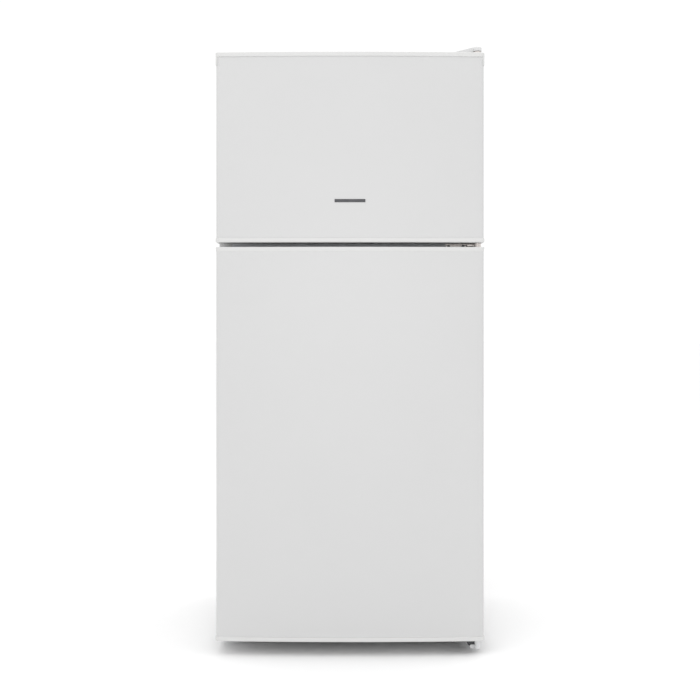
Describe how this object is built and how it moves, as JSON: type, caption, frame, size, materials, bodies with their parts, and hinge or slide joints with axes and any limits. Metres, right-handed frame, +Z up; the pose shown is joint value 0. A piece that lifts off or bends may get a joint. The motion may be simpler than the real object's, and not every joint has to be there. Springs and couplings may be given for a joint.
{
  "type": "top freezer refrigerator",
  "caption": "Free-standing white refrigerator with a freezer above, two bowed doors hinged on the right, shelves, crisper, door balconies and a compressor with a rear condenser.",
  "frame": {"origin": "on the floor, at the centre of the overall outline", "axes": "+Z up, doors face -Y, hinges on the +X side"},
  "size_m": [0.543, 0.6, 1.2315],
  "materials": {
    "cabinet_paint": "satin",
    "door_paint": "gloss",
    "galvanised": "satin",
    "foam": "matte",
    "grey_paint": "satin",
    "liner_plastic": "gloss",
    "aluminium_sheet": "satin",
    "coated_wire": "gloss",
    "shelf_glass": "polished",
    "white_plastic": "satin",
    "clear_plastic": "polished",
    "lens_plastic": "satin",
    "knob_plastic": "satin",
    "black_steel": "gloss",
    "rubber": "matte",
    "black_plastic": "matte",
    "grey_plastic": "matte",
    "copper": "satin",
    "zinc_steel": "satin",
    "cover_plastic": "satin",
    "dark_steel": "satin",
    "screw_steel": "satin",
    "plug_plastic": "satin",
    "cap_plastic": "satin",
    "gasket_rubber": "matte"
  },
  "bodies": {
    "cabinet": {"cabinet_shell": "cabinet_paint", "back_panel": "galvanised", "base_pan": "galvanised", "cabinet_foam": "foam", "mullion_cover": "grey_paint", "front_rail": "cabinet_paint", "freezer_liner": "liner_plastic", "fridge_liner": "liner_plastic", "evaporator": "aluminium_sheet", "freezer_shelf": "coated_wire", "shelf_upper": "shelf_glass", "shelf_lower": "shelf_glass", "crisper_cover": "shelf_glass", "shelf_trims": "white_plastic", "control_housing": "white_plastic", "lamp_lens": "lens_plastic", "compressor": "black_steel", "compressor_plate": "galvanised", "compressor_mounts": "rubber", "starter_box": "black_plastic", "drip_pan": "grey_plastic", "condenser_tube": "black_steel", "condenser_wires": "black_steel", "filter_drier": "copper", "refrigerant_lines": "copper", "rear_spacers": "black_plastic", "top_hinge": "zinc_steel", "top_hinge_cover": "cover_plastic", "mid_hinge": "zinc_steel", "bottom_hinge": "dark_steel", "hinge_screws": "screw_steel", "hole_plugs": "plug_plastic", "roller_axles": "zinc_steel"},
    "freezer_door": {"freezer_skin": "door_paint", "freezer_door_foam": "foam", "freezer_inner_panel": "liner_plastic", "freezer_top_cap": "cap_plastic", "freezer_bottom_cap": "cap_plastic", "freezer_gasket": "gasket_rubber", "freezer_bushes": "grey_plastic", "freezer_grip": "cap_plastic", "freezer_balcony_upper": "clear_plastic", "freezer_balcony_lower": "clear_plastic"},
    "fridge_door": {"fridge_skin": "door_paint", "fridge_door_foam": "foam", "fridge_inner_panel": "liner_plastic", "fridge_top_cap": "cap_plastic", "fridge_bottom_cap": "cap_plastic", "fridge_gasket": "gasket_rubber", "fridge_bushes": "grey_plastic", "fridge_grip": "cap_plastic", "balcony_upper": "clear_plastic", "bottle_rack": "clear_plastic"},
    "crisper": {"crisper": "clear_plastic"},
    "thermostat_knob": {"thermostat_knob": "knob_plastic"},
    "switch_plunger": {"switch_plunger": "white_plastic"},
    "foot_left": {"foot_left": "black_plastic"},
    "foot_right": {"foot_right": "black_plastic"},
    "roller_left": {"roller_left": "black_plastic"},
    "roller_right": {"roller_right": "black_plastic"}
  },
  "joints": [
    {"name": "freezer_door_hinge", "type": "hinge", "parent": "cabinet", "child": "freezer_door", "pos_m": [0.259, -0.2685, 0.8334], "axis": [0, 0, 1], "range_deg": [0, 135]},
    {"name": "fridge_door_hinge", "type": "hinge", "parent": "cabinet", "child": "fridge_door", "pos_m": [0.259, -0.2685, 0.03], "axis": [0, 0, 1], "range_deg": [0, 135]},
    {"name": "crisper_slide", "type": "slide", "parent": "cabinet", "child": "crisper", "axis": [0, -1, 0], "range_m": [0, 0.15]},
    {"name": "switch_slide", "type": "slide", "parent": "cabinet", "child": "switch_plunger", "axis": [0, -1, 0], "range_m": [0, 0.006]},
    {"name": "thermostat_turn", "type": "hinge", "parent": "cabinet", "child": "thermostat_knob", "pos_m": [0.062, -0.1885, 0.77685], "axis": [0, -1, 0], "range_deg": [-270, 0]},
    {"name": "foot_left_turn", "type": "hinge", "parent": "cabinet", "child": "foot_left", "pos_m": [-0.225, -0.1555, 0], "axis": [0, 0, 1], "continuous": true},
    {"name": "foot_right_turn", "type": "hinge", "parent": "cabinet", "child": "foot_right", "pos_m": [0.225, -0.1555, 0], "axis": [0, 0, 1], "continuous": true},
    {"name": "roller_left_spin", "type": "hinge", "parent": "cabinet", "child": "roller_left", "pos_m": [-0.236, 0.236, 0.015], "axis": [1, 0, 0], "continuous": true},
    {"name": "roller_right_spin", "type": "hinge", "parent": "cabinet", "child": "roller_right", "pos_m": [0.236, 0.236, 0.015], "axis": [1, 0, 0], "continuous": true}
  ],
  "couplings": [
    {"joint": "crisper_slide", "follows": "fridge_door_hinge", "m_per_rad": 0.063661},
    {"joint": "switch_slide", "follows": "fridge_door_hinge", "m_per_rad": 0.0025464}
  ]
}
